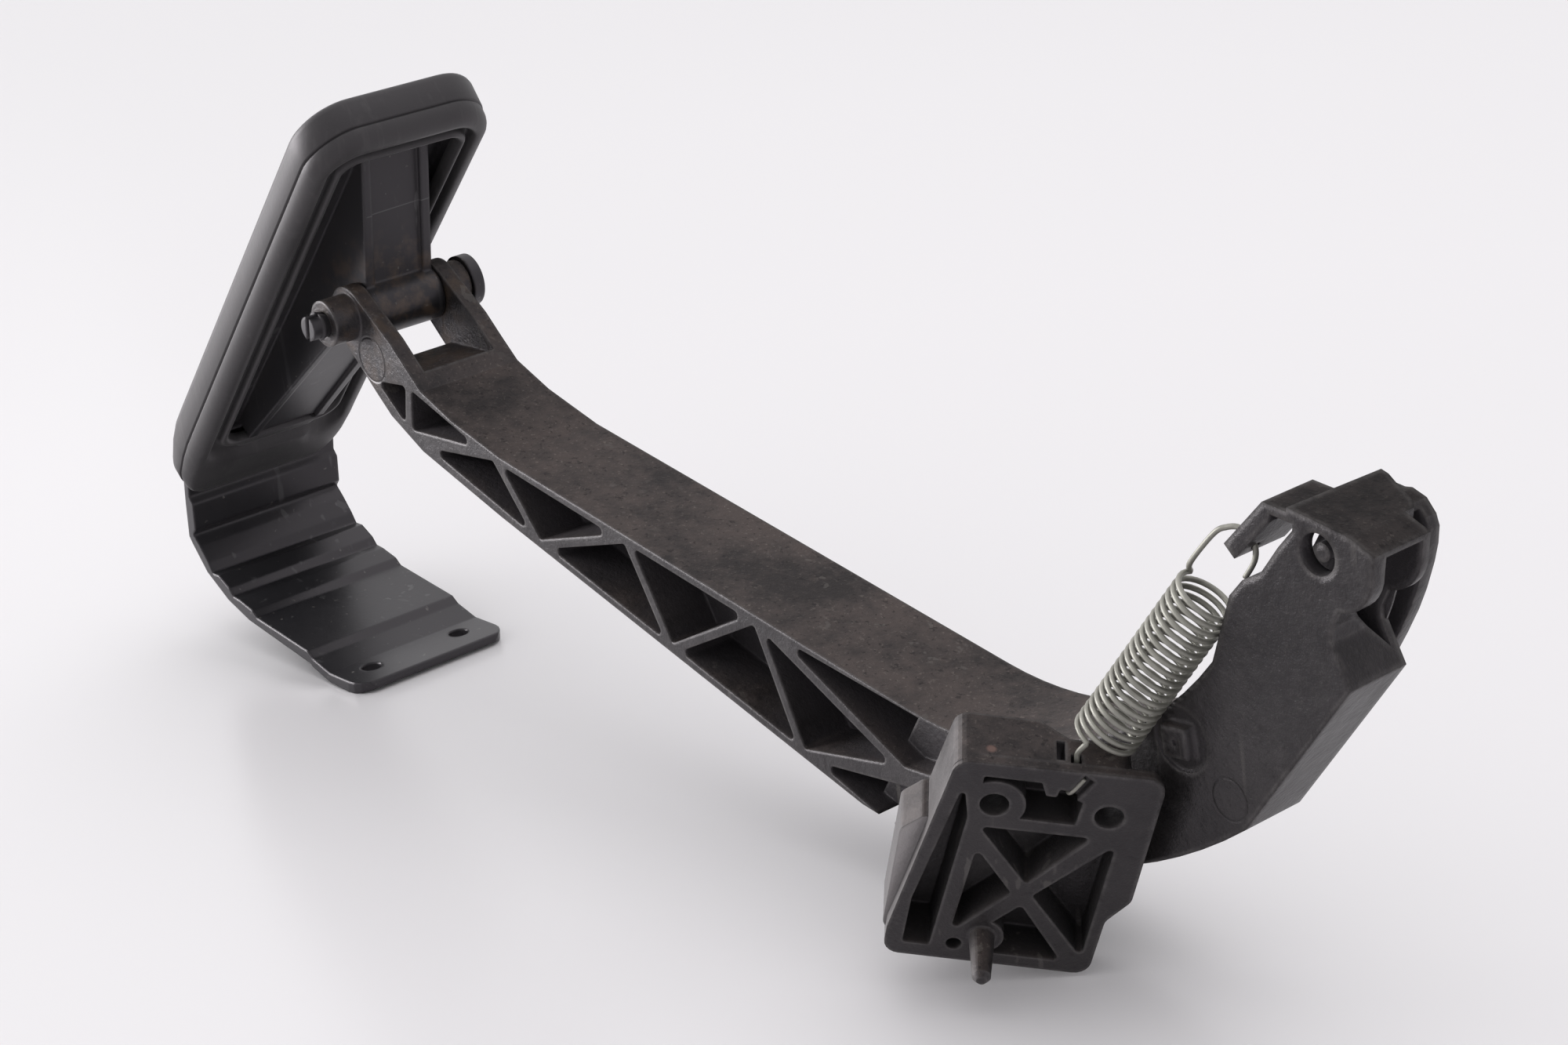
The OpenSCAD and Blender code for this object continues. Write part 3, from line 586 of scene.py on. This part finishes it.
def wire_mesh(path):
    """Rings of points round a path, which turn with it without twist."""
    n, ends = WIRE_SIDES, len(path) - 1
    dirs = [(path[min(i + 1, ends)] - path[max(i - 1, 0)]).normalized() for i in range(len(path))]
    side = dirs[0].orthogonal().normalized()
    points = []
    for p, d in zip(path, dirs):
        side = (side - side.dot(d) * d).normalized()
        up = d.cross(side)
        for k in range(n):
            a = 2 * math.pi * k / n
            points.append(row(p + WIRE_D / 2 * (math.cos(a) * side + math.sin(a) * up)))
    faces = [(i * n + k, i * n + (k + 1) % n, (i + 1) * n + (k + 1) % n, (i + 1) * n + k)
             for i in range(ends) for k in range(n)]
    faces += [tuple(range(n - 1, -1, -1)), tuple(ends * n + k for k in range(n))]
    return points, faces


coil_axis = (COIL_HIGH - COIL_LOW).normalized()
coil = coil_path(coil_axis)
path = (smooth_path([face_point(*p) for p in LOW_END] + [coil[0]])[:-1] + coil
        + smooth_path([coil[-1]] + [EYE + Vector(p) for p in HIGH_END])[1:])
spring = mesh_object("spring_wire", *wire_mesh(path), SPRING, "spring_steel")
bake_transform(spring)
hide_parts("return_spring")


# Stage, light and camera

TABLE_X, TABLE_Y = (-6, 4), (-4, 8)
TABLE_COLOUR, TABLE_ROUGHNESS, TABLE_SPECULAR = (0.905, 0.885, 0.90, 1), 0.25, 0.28
STUDIO_COLOUR = (0.93, 0.925, 0.94, 1)
STUDIO_FAR, STUDIO_NEAR = 0.89, 0.80
CAMERA_SIDE = (0.76, -0.60, 0.25)

(x0, x1), (y0, y1) = TABLE_X, TABLE_Y
mesh = bpy.data.meshes.new("table")
corners = [(x, y, TABLE_Z) for x, y in ((x0, y0), (x1, y0), (x1, y1), (x0, y1))]
mesh.from_pydata(corners, [], [(0, 1, 2, 3)])
floor = bpy.data.objects.new("table", mesh)
scene.collection.objects.link(floor)
table = Nodes("table")
table.shader.inputs["Base Color"].default_value = TABLE_COLOUR
table.shader.inputs["Roughness"].default_value = TABLE_ROUGHNESS
table.shader.inputs["Specular IOR Level"].default_value = TABLE_SPECULAR
mesh.materials.append(table.material)


def studio():
    """A world that is pale all round, a little darker on the side where the camera stands."""
    world = bpy.data.worlds.new("studio")
    world.use_nodes = True
    scene.world = world
    tree = world.node_tree
    where = tree.nodes.new("ShaderNodeTexCoord")
    dot = tree.nodes.new("ShaderNodeVectorMath")
    dot.operation = "DOT_PRODUCT"
    dot.inputs[1].default_value = CAMERA_SIDE
    tree.links.new(where.outputs["Generated"], dot.inputs[0])
    dim = tree.nodes.new("ShaderNodeMapRange")
    for key, v in (("From Min", 0.2), ("From Max", 0.85), ("To Min", STUDIO_FAR), ("To Max", STUDIO_NEAR)):
        dim.inputs[key].default_value = v
    tree.links.new(dot.outputs["Value"], dim.inputs["Value"])
    background = tree.nodes["Background"]
    background.inputs["Color"].default_value = STUDIO_COLOUR
    tree.links.new(dim.outputs["Result"], background.inputs["Strength"])


def softbox(name, place, target, size, power):
    light = bpy.data.lights.new(name, "AREA")
    light.shape = "RECTANGLE"
    light.size, light.size_y = size
    light.energy = power
    obj = bpy.data.objects.new(name, light)
    scene.collection.objects.link(obj)
    obj.location = place
    obj.rotation_euler = (Vector(target) - Vector(place)).to_track_quat("-Z", "Y").to_euler()
    return obj


studio()
left = softbox("left_softbox", (-0.80, -0.45, 0.22), (-0.3, 0.02, 0.03), (0.5, 0.45), 9.5)
softbox("top_softbox", (-0.15, 0.25, 1.25), (-0.1, 0.05, 0.0), (1.8, 1.5), 4.2)
softbox("far_left_softbox", (-2.2, 0.4, 1.1), (-0.9, 0.5, 0.0), (1.5, 1.5), 3.0)

# The left softbox stands close and is flagged off the table
lit = bpy.data.collections.new("lit_from_left")
for obj in scene.objects:
    if obj.type == "MESH" and obj is not floor:
        lit.objects.link(obj)
left.light_linking.receiver_collection = lit

# The camera as found from the photo's vanishing points
SENSOR_WIDTH, LENS = 36, 71.1
CAMERA_PLACE = (0.3966, -0.3366, 0.2391)
CAMERA_RIGHT = Vector((0.6294, 0.7668, -0.1263))
CAMERA_UP = Vector((-0.1786, 0.3010, 0.9369))
CAMERA_BACK = Vector((0.7563, -0.5671, 0.3264))

camera = bpy.data.cameras.new("camera")
camera.sensor_width = SENSOR_WIDTH
camera.lens = LENS
eye =bpy.data.objects.new("camera", camera)
scene.collection.objects.link(eye)
turn = Matrix((CAMERA_RIGHT, CAMERA_UP, CAMERA_BACK)).transposed()
eye.matrix_world = Matrix.Translation(CAMERA_PLACE) @ turn.to_4x4()
scene.camera = eye
